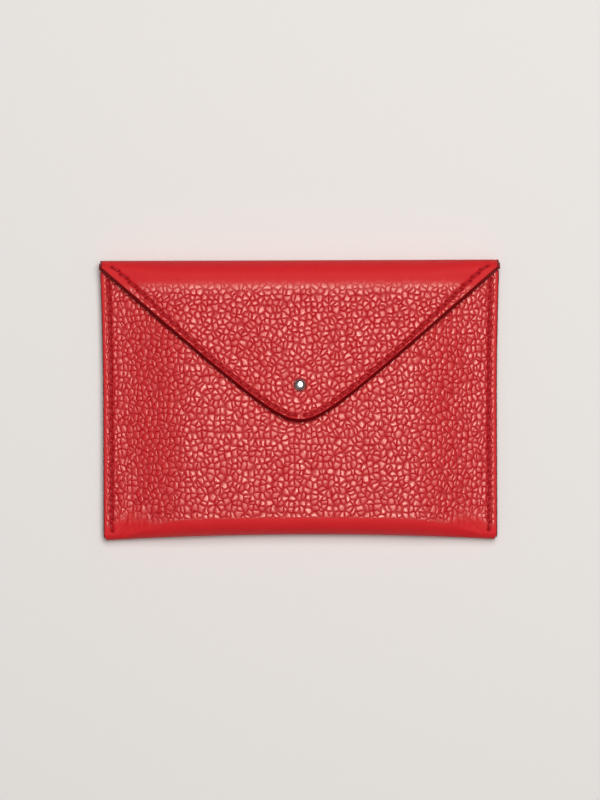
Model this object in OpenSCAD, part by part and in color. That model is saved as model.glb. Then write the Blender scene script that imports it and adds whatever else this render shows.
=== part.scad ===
// Envelope card holder: one folded skin of grained leather, sewn up both sides, with a pointed
// flap that turns over a soft top fold and closes on a small press stud with a domed cap.
// It lies on its back. +X is across, +Y is towards the top fold, +Z is out of the flap side.

/* [Case] */
// Width between the two sewn side edges
case_w = 112.8; // [104:0.2:124]
// Height from the bottom fold to the top fold
case_h = 80; // [72:1:90]
// Thickness of the pouch in the middle, without the flap
case_t = 9.8; // [9.6:0.2:13]
// How far the bottom fold bows in at its middle
bottom_bow = 1.5; // [0:0.1:3]
// Width of the side band where the pouch narrows down to its seam
pinch_w = 24; // [20:1:26]
// How far the side seams stand above the surface
edge_lift = 2.2; // [1.8:0.1:2.4]
// How far the middle of the front's top edge lies below the top fold
mouth_drop = 6; // [6:0.5:8]
// How far the front and the flap sink towards the top fold
mouth_sag = 1.4; // [0:0.1:1.4]
// How far each side widens towards the top fold
side_flare = 0.9; // [0:0.1:0.9]

/* [Flap] */
// Width of the flap along the top fold
flap_w = 114.6; // [114:0.2:120]
// Distance from the top fold to the point of the flap
flap_h = 46.3; // [40:0.1:52]
// Slope of the flap's two slanting edges
flap_slope = 0.88; // [0.8:0.01:0.9]
// Size of the rounding at the flap's point
tip_round = 8; // [6:0.5:10]
// Gap between the closed flap's lining and the front
flap_gap = 0.3; // [0.3:0.05:0.5]
// Height of the flap's outer face over the surface at its corners
flap_corner_top = 8.6; // [7.9:0.1:8.8]

/* [Layers] */
// Thickness of the outer leather
leather_t = 1.1; // [1:0.05:1.1]
// Thickness of the lining
lining_t = 0.4; // [0.3:0.05:0.4]
// Thickness of the flap's lining, which is skived thinner
flap_lining_t = 0.35; // [0.3:0.05:0.35]
// Thickness of the card slot panel
slot_t = 0.6; // [0.5:0.05:0.6]
// Glue line between neighbouring layers
glue = 0.05; // [0.05:0.01:0.06]

/* [Press stud] */
// Distance from the top fold to the press stud
snap_from_top = 35.7; // [33:0.1:36]
// Radius of the domed cap
cap_r = 1.5; // [1.2:0.1:1.8]
// Radius of the socket under the flap
socket_r = 3.9; // [3.6:0.1:4.1]
// How far the front is pressed in round the stud
dent = 1; // [0.9:0.05:1]
// How far the flap stands up round the socket
bump = 0.65; // [0.65:0.05:0.7]

/* [Stitching] */
// Length from one stitch to the next
stitch_pitch = 3.3; // [3:0.1:4]
// Radius of the thread
thread_r = 0.25; // [0.2:0.01:0.25]
// Distance of the side stitching from the cut edge
side_inset = 2.2; // [2:0.1:2.6]
// Distance of the flap stitching from the flap's edge, at the point
flap_inset = 1.7; // [1.6:0.05:2]
// How much that distance grows towards the flap's corners
flap_inset_more = 1.4; // [0:0.1:1.5]

/* [Hidden] */
$fn = 32;

top_y = case_h / 2;
half_w = case_w / 2;
flap_half = flap_w / 2;
seam_x = half_w - side_inset;
pinch_x = seam_x - pinch_w;
snap_y = top_y - snap_from_top;
tip_y = top_y - flap_h;

// Depth below the outer face at which each layer starts and ends
lining_from = leather_t + glue;
lining_to = lining_from + lining_t;
flap_lining_to = lining_from + flap_lining_t;
flap_top = case_t + flap_gap + flap_lining_to;
edge_t = 2 * lining_to + 2 * glue + slot_t;

// The fold turns half a circle; its three leather parts are split at these angles
split_gap = 5;
fold_split = 45;

// Round the press stud the leather is flat, then eases back to its own height
flat_half = 4.6;
ease_from = 6.6;
ease_to = 16;

red = "#c8342f";
lining_red = "#7d1f22";
steel = "#c9c9cc";
thread_red = "#b3201f";
board = "#d9d2c4";

// ---- the surfaces that every layer follows ----

function smooth(t) = let (c = min(max(t, 0), 1)) c * c * (3 - 2 * c);
function pinch(x) = smooth((seam_x - abs(x)) / pinch_w);
function lift(x) = edge_lift * (1 - pinch(x));
function thick(x) = edge_t + (case_t - edge_t) * pinch(x);
function bottom_y(x) = -case_h / 2 + bottom_bow * (1 - pow(x / half_w, 2));
function mouth_y(x) = top_y - 3 - (mouth_drop - 3) * smooth((half_w - abs(x)) / pinch_w);
function near_snap(x, y) = 1 - smooth((norm([x, y - snap_y]) - ease_from) / (ease_to - ease_from));

// Share of the sag that is left at y, from 1 over the pouch to 0 at the top fold
function crown(y) = 1 - smooth((y - top_y + 22) / 17);
function flared(x, y) = x + sign(x) * side_flare * pow(max(y, 0) / top_y, 1.8)
    * smooth((abs(x) - pinch_x) / (half_w - pinch_x));
function flap_pinch(x) = smooth((flap_half - abs(x)) / (flap_half - pinch_x));
// Height of the flap's outer face at the fold, and the radius and centre of the fold behind it
function flap_z(x) = flap_corner_top + (flap_top - mouth_sag - flap_corner_top) * flap_pinch(x);
function fold_r(x) = (flap_z(x) - lift(x)) / 2;
function fold_y(x) = top_y - fold_r(x);
function flap_edge(x) = tip_y + flap_slope * (sqrt(x * x + tip_round * tip_round) - tip_round);

// A point of the fold at angle a, from 0 at the back to 180 at the flap, depth d inside
function fold_point(x, a, d) = let (r = fold_r(x))
    [x, fold_y(x) + (r - d) * sin(a), lift(x) + r - (r - d) * cos(a)];

// Stations across the case: close together where the skin curves
mid_steps = 4;
pinch_steps = 7;
half_stations = concat(
    [for (k = [0:mid_steps]) flat_half + (pinch_x - flat_half) * pow(k / mid_steps, 1.3)],
    [for (k = [1:pinch_steps]) pinch_x + pinch_w * k / pinch_steps]
);
function across(edges) = let (right = concat(half_stations, edges), n = len(right) - 1)
    concat([for (k = [n:-1:0]) -right[k]], [0], right);

// Straight run of n steps from a to b, without its first point
function run(a, b, n) = [for (k = [1:n]) a + (b - a) * k / n];

// Path of the pouch skin at x, depth d: top fold, back, bottom fold, front, mouth
arc_steps = 8;
function pouch_path(x, d) = let (
        t = thick(x),
        r = t / 2,
        y0 = bottom_y(x) + r,
        low = snap_y - flat_half,
        high = snap_y + flat_half,
        front = concat(run(y0, low, 4), [snap_y, high], run(high, mouth_y(x), 5)),
        drop = mouth_sag * pinch(x)
    ) [for (p = concat(
        [for (a = [fold_split - split_gap, 20, 0]) fold_point(x, a, d)],
        [[x, 0, lift(x) + d]],
        [for (k = [0:arc_steps]) let (a = 180 * k / arc_steps)
            [x, y0 - (r - d) * sin(a), lift(x) + r - (r - d) * cos(a)]],
        [for (y = front)
            [x, y, lift(x) + t - d - dent * near_snap(x, y) - drop * (1 - crown(y))]]
    )) [flared(x, p[1]), p[1], p[2]]];

// Height of the flap's skin over the surface at (x, y), depth d below its outer face
function flap_height(x, y, d) = let (
        r = max(fold_r(x) - d, 0),
        off = min(max(y - fold_y(x), 0), r)
    ) lift(x) + fold_r(x) + sqrt(r * r - off * off) + bump * near_snap(x, y)
        + mouth_sag * flap_pinch(x) * crown(y);

// Path of the flap skin at x, depth d: the end of the fold, then down to the slanting edge
function flap_path(x, d) = let (
        start = fold_point(x, 180 - fold_split + split_gap, d)[1],
        end = flap_edge(x),
        turn = max(fold_y(x), (start + end) / 2),
        low = snap_y - flat_half,
        high = snap_y + flat_half,
        ys = concat(run(start, turn, 3), end < low
            ? concat(run(turn, high, 5), [snap_y, low, end])
            : run(turn, end, 8))
    ) [for (y = concat([start], ys)) [x, y, flap_height(x, y, d)]];

function strip_path(x, d) =
    [for (k = [0:4]) fold_point(x, fold_split + (180 - 2 * fold_split) * k / 4, d)];

// ---- shapes that repeat ----

// Closed skin between two grids of points; outer is the side that faces out
module skin(outer, inner) {
    n = len(outer);
    m = len(outer[0]);
    function at(g, i, j) = (g * n + i) * m + j;
    function strip(a, b, c, d) = [[a, b, c], [a, c, d]];
    points = [for (g = [outer, inner]) for (row = g) for (p = row) p];
    faces = concat(
        [for (i = [0:n - 2]) for (j = [0:m - 2])
            each strip(at(0, i, j), at(0, i, j + 1), at(0, i + 1, j + 1), at(0, i + 1, j))],
        [for (i = [0:n - 2]) for (j = [0:m - 2])
            each [for (f = strip(at(1, i, j), at(1, i, j + 1), at(1, i + 1, j + 1), at(1, i + 1, j)))
                [f[2], f[1], f[0]]]],
        [for (i = [0:n - 2])
            each strip(at(0, i, 0), at(0, i + 1, 0), at(1, i + 1, 0), at(1, i, 0))],
        [for (i = [0:n - 2])
            each strip(at(0, i, m - 1), at(1, i, m - 1), at(1, i + 1, m - 1), at(0, i + 1, m - 1))],
        [for (j = [0:m - 2])
            each strip(at(0, 0, j), at(1, 0, j), at(1, 0, j + 1), at(0, 0, j + 1))],
        [for (j = [0:m - 2])
            each strip(at(0, n - 1, j), at(0, n - 1, j + 1), at(1, n - 1, j + 1), at(1, n - 1, j))]
    );
    polyhedron(points, faces);
}

// Layer of skin between depths a and b, on the stations that end in edges
module pouch_layer(a, b) {
    skin([for (x = across([half_w])) pouch_path(x, a)], [for (x = across([half_w])) pouch_path(x, b)]);
}

module flap_layer(a, b, half) {
    skin([for (x = across([half])) flap_path(x, a)], [for (x = across([half])) flap_path(x, b)]);
}

module fold_layer(a, b, half) {
    skin([for (x = across([half])) strip_path(x, a)], [for (x = across([half])) strip_path(x, b)]);
}

// Upright post on the press stud's axis, from z = a to z = b
module post(a, b, r) {
    translate([0, snap_y, a]) cylinder(h = b - a, r = r);
}

module washer(a, b, outer_r, inner_r) {
    difference() {
        post(a, b, outer_r);
        post(a - 1, b + 1, inner_r);
    }
}

// Straight length of thread from p to q
module thread(p, q) {
    v = q - p;
    translate(p)
        rotate([0, acos(v[2] / norm(v)), atan2(v[1], v[0])])
            cylinder(h = norm(v), r = thread_r);
}

// ---- leather ----

hole_r = 0.9;
lining_half = flap_half - 0.9;

module outer_shell() {
    color(red) difference() {
        pouch_layer(0, leather_t);
        post(case_t / 2, case_t + 1, hole_r);
    }
}

module fold_leather() {
    color(red) fold_layer(0, leather_t, flap_half);
}

module flap_leather() {
    color(red) difference() {
        flap_layer(0, leather_t, flap_half);
        post(flap_top - 3, flap_top + 3, hole_r);
    }
}

// ---- lining and card slot ----

module pocket_lining() {
    color(lining_red) difference() {
        pouch_layer(lining_from, lining_to);
        post(case_t / 2, case_t + 1, hole_r);
    }
}

module fold_lining() {
    color(lining_red) fold_layer(lining_from, flap_lining_to, lining_half);
}

module flap_lining() {
    color(lining_red) difference() {
        flap_layer(lining_from, flap_lining_to, lining_half);
        post(flap_top - 3, flap_top + 3, hole_r);
    }
}

slot_top = 24;
slot_dip = 5;
function slot_path(x, z) = let (
        y0 = bottom_y(x) + thick(x) / 2,
        y1 = slot_top - slot_dip * smooth(1 - abs(x) / pinch_x)
    ) [for (y = concat([y0], run(y0, 0, 1), run(0, y1, 3))) [flared(x, y), y, lift(x) + z]];

module card_slot_panel() {
    z0 = lining_to + glue;
    xs = across([half_w]);
    color(red) skin([for (x = xs) slot_path(x, z0)], [for (x = xs) slot_path(x, z0 + slot_t)]);
}

// ---- press stud ----

face_gap = 0.02;
stay_t = 0.28;
plate_t = 0.2;
flange_t = 0.35;
post_r = 0.8;

// Leather faces on the stud's axis, and the parts stacked on them
front_top = case_t - dent;
front_under = front_top - lining_to;
flap_face = flap_top + bump;
flap_under = flap_face - flap_lining_to;
stay_top = flap_under - face_gap;
socket_top = stay_top - stay_t - face_gap;
socket_base = front_top + flange_t + 0.12;
cavity_top = socket_top - plate_t;
stud_top = cavity_top - plate_t - 0.1;
stud_base = front_top + face_gap;
rivet_top = front_under - face_gap - stay_t - face_gap;

cavity_r = 2.2;
lip_r = 1.75;
lip_t = 0.15;
bulb_r = 1.5;
neck_r = 1.25;

// Domed cap, its base ring, and the post that runs through the flap and is spread in the socket
module snap_cap() {
    cap_z = flap_face + face_gap;
    dome_r = 1.25 * cap_r;
    color(steel) union() {
        intersection() {
            post(cap_z, cap_z + 2 * cap_r, cap_r);
            translate([0, snap_y, cap_z + 0.05]) sphere(r = dome_r, $fn = 48);
        }
        post(cap_z, cap_z + 0.25, cap_r + 0.2);
        post(cavity_top - plate_t, cap_z + 0.5, post_r);
        post(cavity_top - plate_t, cavity_top - face_gap, post_r + 0.6);
    }
}

module flap_stay() {
    color(board) washer(stay_top - stay_t, stay_top, socket_r + 0.5, hole_r);
}

module snap_socket() {
    color(steel) difference() {
        post(socket_base, socket_top, socket_r);
        post(socket_base - 1, socket_base + lip_t + 0.01, lip_r);
        post(socket_base + lip_t, cavity_top, cavity_r);
        post(cavity_top - 1, socket_top + 1, hole_r);
    }
}

// Split ring that grips the stud's bulb
module socket_spring() {
    wire_r = 0.18;
    ring_r = bulb_r + 0.12 + wire_r;
    color(steel)
        translate([0, snap_y, socket_base + lip_t + 0.05 + wire_r])
            rotate([0, 0, 15]) rotate_extrude(angle = 330) translate([ring_r, 0]) circle(r = wire_r);
}

module snap_stud() {
    color(steel) difference() {
        union() {
            post(stud_base, stud_base + flange_t, socket_r - 0.4);
            post(stud_base, stud_top - 0.1, neck_r);
            post(stud_top - 0.4, stud_top, bulb_r);
        }
        post(stud_base - 1, stud_top - 0.25, post_r + 0.05);
    }
}

module stud_rivet() {
    color(steel) union() {
        post(rivet_top - flange_t, rivet_top, socket_r - 0.9);
        post(rivet_top - flange_t, stud_top - 0.3, post_r);
    }
}

module front_stay() {
    color(board) washer(rivet_top + face_gap, rivet_top + face_gap + stay_t, socket_r + 0.5, hole_r);
}

// ---- stitching ----

stitch_len = 0.7 * stitch_pitch;
thread_gap = thread_r + 0.08;
side_start = -case_h / 2 + 2.7;

// One row up the side at x, on the front and on the back
module side_row(x) {
    count = floor((mouth_y(x) - 0.5 - side_start) / stitch_pitch);
    for (k = [0:count - 1], z = [lift(x) + thick(x) + thread_gap, lift(x) - thread_gap]) {
        y = side_start + k * stitch_pitch;
        thread([flared(x, y), y, z], [flared(x, y + stitch_len), y + stitch_len, z]);
    }
}

module left_stitching() {
    color(thread_red) side_row(-seam_x);
}

module right_stitching() {
    color(thread_red) side_row(seam_x);
}

// Slope of the flap's edge, and the stations along it one stitch apart
function flap_slant(x) = flap_slope * x / sqrt(x * x + tip_round * tip_round);
function flap_stations(x) = x > flap_half - 6
    ? []
    : concat([x], flap_stations(x + stitch_pitch / norm([1, flap_slant(x)])));
// A point of the flap's seam, beside the edge's point at x
function flap_seam(x) = let (
        n = [-flap_slant(x), 1] / norm([1, flap_slant(x)]),
        inset = flap_inset + flap_inset_more * smooth((abs(x) - 25) / 30),
        p = [x, flap_edge(x)] + inset * n
    ) [p[0], p[1], flap_height(p[0], p[1], 0) + thread_gap];

module flap_stitching() {
    color(thread_red)
        for (x = flap_stations(stitch_pitch / 2), s = [-1, 1])
            thread(flap_seam(s * x), flap_seam(s * (x + stitch_len / norm([1, flap_slant(x)]))));
}

outer_shell();
fold_leather();
flap_leather();
pocket_lining();
fold_lining();
flap_lining();
card_slot_panel();
snap_cap();
flap_stay();
snap_socket();
socket_spring();
snap_stud();
stud_rivet();
front_stay();
left_stitching();
right_stitching();
flap_stitching();
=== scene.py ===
import math

import bmesh
import bpy
import numpy as np
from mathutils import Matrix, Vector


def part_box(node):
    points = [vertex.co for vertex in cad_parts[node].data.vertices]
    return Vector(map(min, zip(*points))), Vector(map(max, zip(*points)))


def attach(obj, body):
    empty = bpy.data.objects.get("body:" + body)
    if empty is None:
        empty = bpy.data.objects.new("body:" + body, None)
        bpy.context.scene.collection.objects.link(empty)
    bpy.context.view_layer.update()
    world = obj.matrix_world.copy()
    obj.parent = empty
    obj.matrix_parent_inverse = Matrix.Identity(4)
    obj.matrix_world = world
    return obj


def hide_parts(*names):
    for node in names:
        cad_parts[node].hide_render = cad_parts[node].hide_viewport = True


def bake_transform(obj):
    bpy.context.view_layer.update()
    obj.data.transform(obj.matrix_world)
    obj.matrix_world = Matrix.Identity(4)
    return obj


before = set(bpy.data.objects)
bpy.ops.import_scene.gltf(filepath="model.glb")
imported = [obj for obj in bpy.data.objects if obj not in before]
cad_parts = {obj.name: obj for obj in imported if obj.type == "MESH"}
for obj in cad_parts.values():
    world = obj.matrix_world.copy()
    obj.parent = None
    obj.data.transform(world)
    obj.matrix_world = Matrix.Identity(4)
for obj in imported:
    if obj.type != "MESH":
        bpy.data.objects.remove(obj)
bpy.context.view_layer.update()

MM = 0.001  # the shapes below are worked out in millimetres

# ---------------------------------------------------------------- sizes from the frame


def box_mm(node):
    low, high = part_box(node)
    return np.array(low) / MM, np.array(high) / MM


shell_low, shell_high = box_mm("outer_shell")
flap_low, flap_high = box_mm("flap_leather")
_fold_low, fold_high = box_mm("fold_leather")
cap_low, cap_high = box_mm("snap_cap")
stud_low, stud_high = box_mm("snap_stud")
socket_low, socket_high = box_mm("snap_socket")
rivet_low, rivet_high = box_mm("stud_rivet")
flap_stay_low, flap_stay_high = box_mm("flap_stay")
front_stay_low, front_stay_high = box_mm("front_stay")
spring_low, spring_high = box_mm("socket_spring")

TOP_Y = fold_high[1]
FLAP_HALF = flap_high[0]
CASE_T = shell_high[2]
TIP_Y = flap_low[1]
BOTTOM_Y = shell_low[1]
SNAP_Y = (cap_low[1] + cap_high[1]) / 2
BUMP = 0.65  # how far the flap stands up over its socket
FLAP_TOP = flap_high[2] - BUMP

# The holder's own curves, as the part's design has them
HALF_W = 56.4
SEAM_X = HALF_W - 2.2
PINCH_W = 24.0
PINCH_X = SEAM_X - PINCH_W
EDGE_LIFT = 2.2  # height of the side seams' underside
EDGE_T = 3.8  # thickness at the side seams
BOTTOM_BOW = 1.5
MOUTH_DROP = 6.0
SAG = 1.4  # how much lower the leather lies near the mouth than over the pouch
SIDE_FLARE = 0.9
FLAP_SLOPE = 0.88
TIP_ROUND = 8.0
FLAP_CORNER_TOP = 8.6
EDGE_CURL = 0.3  # how far the flap's free edge curls up
DENT = 1.0  # how far the front is pressed in round the stud
EASE_FROM = 6.6  # the dent and the bump fade out between these two radii
EASE_TO = 16.0
LEATHER_T = 1.1
LINING_FROM = 1.15
LINING_TO = 1.55
FLAP_LINING_TO = 1.5
STITCH_PITCH = 3.3
STITCH_LEN = 0.7 * STITCH_PITCH
FLAP_INSET = 1.7
FLAP_INSET_MORE = 1.4
SLOT_TOP = 24.0
SLOT_DIP = 5.0
SLOT_T = 0.6
PAINT_T = 0.28  # how far the painted edge stands out from the leather's cut side
PAINT_TOP = TOP_Y - 2.95
CAP_R = 1.5


def smooth(t):
    t = np.clip(t, 0, 1)
    return t * t * (3 - 2 * t)


def bell(t):
    """1 at t = 0, falling smoothly to almost nothing at t = 2."""
    return np.exp(-t * t)


def pinch(x):
    return smooth((SEAM_X - abs(x)) / PINCH_W)


def flap_pinch(x):
    return smooth((FLAP_HALF - abs(x)) / (FLAP_HALF - PINCH_X))


def lift(x):
    return EDGE_LIFT * (1 - pinch(x))


def thick(x):
    return EDGE_T + (CASE_T - EDGE_T) * pinch(x)


def bottom_y(x):
    return BOTTOM_Y + BOTTOM_BOW * (1 - (x / HALF_W) ** 2)


def mouth_y(x):
    return TOP_Y - 3 - (MOUTH_DROP - 3) * smooth((HALF_W - abs(x)) / PINCH_W)


def near_snap(x, y):
    return 1 - smooth((np.hypot(x, y - SNAP_Y) - EASE_FROM) / (EASE_TO - EASE_FROM))


def crown(y):
    """Share of the height that is left at y, from 1 over the pouch to 0 at the top fold."""
    return 1 - smooth((y - TOP_Y + 22) / 17)


def flared(x, y):
    """The sides widen towards the top fold."""
    share = smooth((abs(x) - PINCH_X) / (HALF_W - PINCH_X))
    return x + np.sign(x) * SIDE_FLARE * (np.maximum(y, 0) / TOP_Y) ** 1.8 * share


def flap_z(x):
    return FLAP_CORNER_TOP + (FLAP_TOP - SAG - FLAP_CORNER_TOP) * flap_pinch(x)


def fold_r(x):
    return (flap_z(x) - lift(x)) / 2


def fold_y(x):
    return TOP_Y - fold_r(x)


def flap_edge(x):
    return TIP_Y + FLAP_SLOPE * (np.sqrt(x * x + TIP_ROUND**2) - TIP_ROUND)


def flap_slant(x):
    return FLAP_SLOPE * x / np.sqrt(x * x + TIP_ROUND**2)


def flap_inset(x):
    """Distance of the flap's seam from the flap's edge, which grows towards the corners."""
    return FLAP_INSET + FLAP_INSET_MORE * smooth((abs(x) - 25) / 30)


# ---------------------------------------------------------------- the skin's two surfaces
# Each takes x, the distance s along the skin from the middle of the top fold, and the depth
# below the outer face, and gives points. The case runs down the back, round the bottom fold
# and up the front to the mouth; the flap runs over the fold and down to its slanting edge.


def case_lengths(x):
    """Lengths of the top fold's lower half, the back, the bottom fold and the front."""
    r = thick(x) / 2
    quarter = fold_r(x) * np.pi / 2
    back = fold_y(x) - (bottom_y(x) + r)
    front = mouth_y(x) - (bottom_y(x) + r)
    return quarter, back, np.pi * r, front


def front_height(x, y):
    drop = SAG * pinch(x) * (1 - crown(y))
    return lift(x) + thick(x) - DENT * near_snap(x, y) - drop


def case_point(x, s, depth):
    quarter, back, turn, _front = case_lengths(x)
    big = fold_r(x)
    a = np.clip(s / quarter, 0, 1) * np.pi / 2
    y = fold_y(x) + (big - depth) * np.cos(a)
    z = lift(x) + big - (big - depth) * np.sin(a)
    down = s - quarter
    y = np.where(down > 0, fold_y(x) - down, y)
    z = np.where(down > 0, lift(x) + depth, z)
    r = thick(x) / 2
    y0 = bottom_y(x) + r
    b = np.clip((down - back) / turn, 0, 1) * np.pi
    in_turn = down > back
    y = np.where(in_turn, y0 - (r - depth) * np.sin(b), y)
    z = np.where(in_turn, lift(x) + r - (r - depth) * np.cos(b), z)
    up = down - back - turn
    y = np.where(up > 0, y0 + up, y)
    z = np.where(up > 0, front_height(x, y) - depth, z)
    return np.stack([flared(x, y), y, z], axis=-1)


def flap_end(x):
    """The distance along the skin at which the flap's slanting edge lies."""
    r = fold_r(x)
    over = np.clip((flap_edge(x) - fold_y(x)) / r, 0, 1)
    short = r * (np.pi / 2 - np.arcsin(over))
    return np.where(over > 0, short, r * np.pi / 2 + fold_y(x) - flap_edge(x))


def flap_rise(x, y):
    """How far the flap stands up round its socket, over the pouch, and along its free edge."""
    from_edge = (y - flap_edge(x)) / np.hypot(1, flap_slant(x))
    curl = EDGE_CURL * bell(from_edge / 2.6) * smooth((TOP_Y - 5 - y) / 5)
    return BUMP * near_snap(x, y) + SAG * flap_pinch(x) * crown(y) + curl


def flap_height(x, y, depth):
    r = np.maximum(fold_r(x) - depth, 0)
    off = np.clip(y - fold_y(x), 0, r)
    return lift(x) + fold_r(x) + np.sqrt(r * r - off * off) + flap_rise(x, y)


def flap_point(x, s, depth):
    r = fold_r(x)
    a = np.clip(s / r, 0, np.pi / 2)
    y = fold_y(x) + (r - depth) * np.cos(a)
    z = lift(x) + r + (r - depth) * np.sin(a)
    flat = s > r * np.pi / 2
    y = np.where(flat, fold_y(x) - (s - r * np.pi / 2), y)
    z = np.where(flat, lift(x) + 2 * r - depth, z)
    return np.stack([x + 0 * y, y, z + flap_rise(x, y)], axis=-1)


# ---------------------------------------------------------------- meshes


def link(obj):
    bpy.context.scene.collection.objects.link(obj)
    return obj


def finished(name, points, faces, facts=None, sharp=()):
    """An object from points in millimetres. facts gives attributes, one value per point;
    sharp is a set of points whose joining edges are kept crisp."""
    mesh = bpy.data.meshes.new(name)
    mesh.from_pydata((np.asarray(points) * MM).tolist(), [], faces)
    mesh.update()
    for key, values in (facts or {}).items():
        wide = values.ndim == 2
        kind = "FLOAT_VECTOR" if wide else "FLOAT"
        made = mesh.attributes.new(key, kind, "POINT")
        made.data.foreach_set("vector" if wide else "value", values.astype(np.float32).ravel())
    work = bmesh.new()
    work.from_mesh(mesh)
    bmesh.ops.recalc_face_normals(work, faces=work.faces)
    bmesh.ops.triangulate(work, faces=[f for f in work.faces if len(f.verts) > 4])
    work.to_mesh(mesh)
    work.free()
    mesh.shade_smooth()
    if sharp:
        for edge in mesh.edges:
            if edge.vertices[0] in sharp and edge.vertices[1] in sharp:
                edge.use_edge_sharp = True
    return link(bpy.data.objects.new(name, mesh))


def tube_faces(rings, around):
    """Faces of a closed tube whose points come ring by ring."""
    faces = []
    for k in range(rings - 1):
        for j in range(around):
            i = (j + 1) % around
            a, b = k * around, (k + 1) * around
            faces.append([a + j, a + i, b + i, b + j])
    last = (rings - 1) * around
    return faces + [list(range(around)), list(range(last, last + around))]


def perimeter(n, m):
    """The places round an n by m grid, in order."""
    near = [(i, 0) for i in range(n)]
    right = [(n - 1, j) for j in range(1, m)]
    far = [(i, m - 1) for i in range(n - 2, -1, -1)]
    left = [(0, j) for j in range(m - 2, 0, -1)]
    return near + right + far + left


def rim(thickness, radius, slant=0):
    """Insets and depths of the cut edge, from the outer face to the inner one: rounded at the
    top and the bottom, and drawn in by slant at the top."""
    turns = [math.radians(a) for a in (0, 30, 60, 90)]
    corner = [(radius * (1 - math.sin(a)), radius * (1 - math.cos(a))) for a in turns]
    return [(slant + i, d) for i, d in corner] + [(i, thickness - d) for i, d in reversed(corner)]


def closed_sheet(name, place, columns, rows, depth, cut_edge, facts, step=8):
    """A closed skin. place(columns, rows, inset, depth) gives points; the outer face is a fine
    grid at depth, the cut edge runs round it, and the inner face is a coarse grid below.
    facts gives the outer face's attributes; the cut edge and the inner face are painted."""
    n, m = len(columns), len(rows)
    ii, jj = np.meshgrid(np.arange(n), np.arange(m), indexing="ij")
    loop = perimeter(n, m)
    li = np.array([p[0] for p in loop])
    lj = np.array([p[1] for p in loop])
    points = [place(columns[ii], rows[jj], cut_edge[0][0], depth).reshape(-1, 3)]
    base = float(np.median(depth))
    low_inset, thickness = cut_edge[-1]
    rings = []
    count = n * m
    for inset, down in cut_edge[1:]:
        share = down / thickness
        edge_depth = depth[li, lj] * (1 - share) + base * share + down
        points.append(place(columns[li], rows[lj], inset, edge_depth).reshape(-1, 3))
        rings.append(count + np.arange(len(loop)))
        count += len(loop)
    gi, gj = np.meshgrid(np.arange(step, n - 1, step), np.arange(step, m - 1, step), indexing="ij")
    points.append(place(columns[gi], rows[gj], low_inset, base + thickness).reshape(-1, 3))
    inside = {(i, j): count + k for k, (i, j) in enumerate(zip(gi.ravel(), gj.ravel()))}
    inside.update({p: rings[-1][k] for k, p in enumerate(loop)})

    a = (ii[:-1, :-1] * m + jj[:-1, :-1]).ravel()
    faces = np.stack([a, a + 1, a + m + 1, a + m], axis=1).tolist()
    ring = li * m + lj
    for after in rings:
        faces += np.stack([ring, np.roll(ring, -1), np.roll(after, -1), after], axis=1).tolist()
        ring = after
    for i in range(0, n - 1, step):
        for j in range(0, m - 1, step):
            path = [(i + k, j) for k in range(step)] + [(i + step, j + k) for k in range(step)]
            path += [(i + step - k, j + step) for k in range(step)]
            path += [(i, j + step - k) for k in range(step)]
            faces.append([inside[p] for p in path if p in inside])

    xyz = np.concatenate(points)
    full_facts = {}
    for key, values in facts.items():
        flat = values.reshape(n * m, -1) if values.ndim == 3 else values.reshape(n * m)
        full = np.zeros((len(xyz),) + flat.shape[1:])
        full[: n * m] = flat
        for index in rings:
            full[index] = flat[li * m + lj] if values.ndim == 3 else 0
        full_facts[key] = full
    painted = np.ones(len(xyz))
    painted[: n * m] = 0
    painted[rings[0]] = 0
    full_facts["paint"] = painted
    fold_end = set((np.arange(n) * m).tolist())
    return finished(name, xyz, faces, full_facts, fold_end)


def spread(low, high, count, density):
    """count places from low to high, close together where density is high."""
    fine = np.linspace(low, high, 4001)
    mass = np.concatenate([[0], np.cumsum((density(fine)[1:] + density(fine)[:-1]) / 2)])
    return np.interp(np.linspace(0, mass[-1], count), mass, fine)


def stretches(counts):
    """Row places from 0 to len(counts): a whole number at each joint between stretches."""
    places = [np.linspace(k, k + 1, c, endpoint=False) for k, c in enumerate(counts)]
    return np.concatenate(places + [[len(counts)]])


def along(rows, lengths):
    """The distance reached at each row, where each stretch has its own length."""
    total = 0
    for k, length in enumerate(lengths):
        total = total + np.clip(rows - k, 0, 1) * length
    return total


def rounded(profile, radius, steps=4):
    """The closed outline profile with its corners rounded, as (radius, height) pairs."""
    out = []
    n = len(profile)
    for k in range(n):
        p, q, r = (np.array(profile[(k + d) % n], float) for d in (-1, 0, 1))
        u, v = p - q, r - q
        size = min(radius, 0.45 * np.hypot(*u), 0.45 * np.hypot(*v))
        if q[0] < 1e-6:
            out.append(q)
            continue
        a = q + u / np.hypot(*u) * size
        b = q + v / np.hypot(*v) * size
        for t in np.linspace(0, 1, steps):
            out.append((1 - t) ** 2 * a + 2 * t * (1 - t) * q + t * t * b)
    return np.array(out)


def lathe(name, profile, segments=72):
    """A turned piece on the press stud's axis from a closed outline of (radius, height)."""
    outline = np.array(profile, float)
    turns = np.linspace(0, 2 * np.pi, segments, endpoint=False)
    points = []
    index = np.zeros((len(outline), segments), int)
    for k, (r, z) in enumerate(outline):
        if r < 1e-6:
            index[k] = len(points)
            points.append((0, SNAP_Y, z))
            continue
        index[k] = len(points) + np.arange(segments)
        points += [(r * math.cos(t), SNAP_Y + r * math.sin(t), z) for t in turns]
    faces = []
    for k in range(len(outline)):
        a, b = index[k], index[(k + 1) % len(outline)]
        if outline[k][0] < 1e-6 and outline[(k + 1) % len(outline)][0] < 1e-6:
            continue
        for s in range(segments):
            t = (s + 1) % segments
            face = [a[s], a[t], b[t], b[s]]
            faces.append([int(p) for i, p in enumerate(face) if p not in face[:i]])
    return finished(name, points, faces)


# ---------------------------------------------------------------- stitch holes and grooves


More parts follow.
